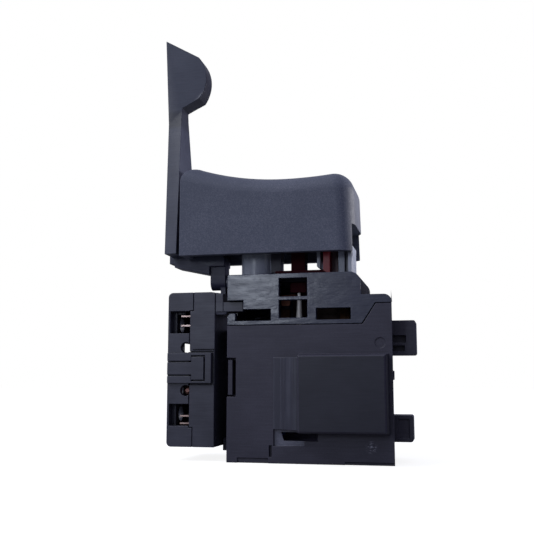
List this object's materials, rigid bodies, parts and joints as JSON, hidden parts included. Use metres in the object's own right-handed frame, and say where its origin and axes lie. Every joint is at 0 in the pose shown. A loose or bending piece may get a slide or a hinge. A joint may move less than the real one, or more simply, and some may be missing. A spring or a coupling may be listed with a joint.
{
  "type": "power tool trigger switch",
  "caption": "Trigger switch for a hand-held power tool: moulded housing, sprung finger trigger, and a side module whose tall lever reverses the motor.",
  "frame": {"origin": "middle of the main housing's flat bottom face", "axes": "+Z the way the trigger comes out, -X the reversing module's side, -Y the face with the windows and the raised block"},
  "size_m": [0.0569, 0.0242, 0.0972],
  "materials": {
    "housing": "satin moulded",
    "frame": "smooth moulded",
    "trigger": "fine spark-eroded grain",
    "lever": "smooth moulded",
    "slide": "smooth moulded",
    "red": "smooth moulded",
    "brass": "stamped",
    "copper": "stamped",
    "steel": "turned",
    "spring": "drawn wire",
    "aluminium": "rolled plate",
    "board": "paper laminate",
    "ceramic": "printed ceramic",
    "capacitor": "cast shell",
    "epoxy": "moulded epoxy",
    "resistor": "lacquer",
    "disc": "dipped coating"
  },
  "bodies": {
    "housing": {"rear_case": "housing", "front_cover": "housing", "upper_frame": "frame", "contact_base": "frame", "line_contact": "brass", "load_contact": "brass", "guide_pin": "steel", "return_spring": "spring", "track_board": "ceramic", "module_case": "frame", "module_cover": "frame", "upper_clamp": "brass", "lower_clamp": "brass", "motor_bar": "copper", "control_board": "board", "capacitor": "capacitor", "heat_sink": "aluminium", "triac": "epoxy", "resistors": "resistor", "varistor": "disc"},
    "trigger_group": {"trigger": "trigger", "trigger_slide": "slide", "contact_carrier": "red", "moving_bridge": "copper", "contact_spring": "spring", "wiper": "brass"},
    "lever_group": {"direction_lever": "lever", "lever_pin": "steel"},
    "slider_group": {"changeover_slider": "slide", "changeover_strips": "brass"}
  },
  "joints": [
    {"name": "trigger_press", "type": "slide", "parent": "housing", "child": "trigger_group", "axis": [0, 0, -1], "range_m": [0, 0.0042], "stiffness_N_per_m": 900, "springref_m": -0.004, "deforming": ["return_spring"]},
    {"name": "lever_swing", "type": "hinge", "parent": "housing", "child": "lever_group", "pos_m": [-0.0205, 0, 0.0389], "axis": [1, 0, 0], "range_deg": [-9, 9]},
    {"name": "slider_shift", "type": "slide", "parent": "housing", "child": "slider_group", "axis": [0, 1, 0], "range_m": [-0.0012, 0.0012]}
  ],
  "couplings": [
    {"joint": "slider_shift", "follows": "lever_swing", "m_per_rad": 0.0057}
  ]
}
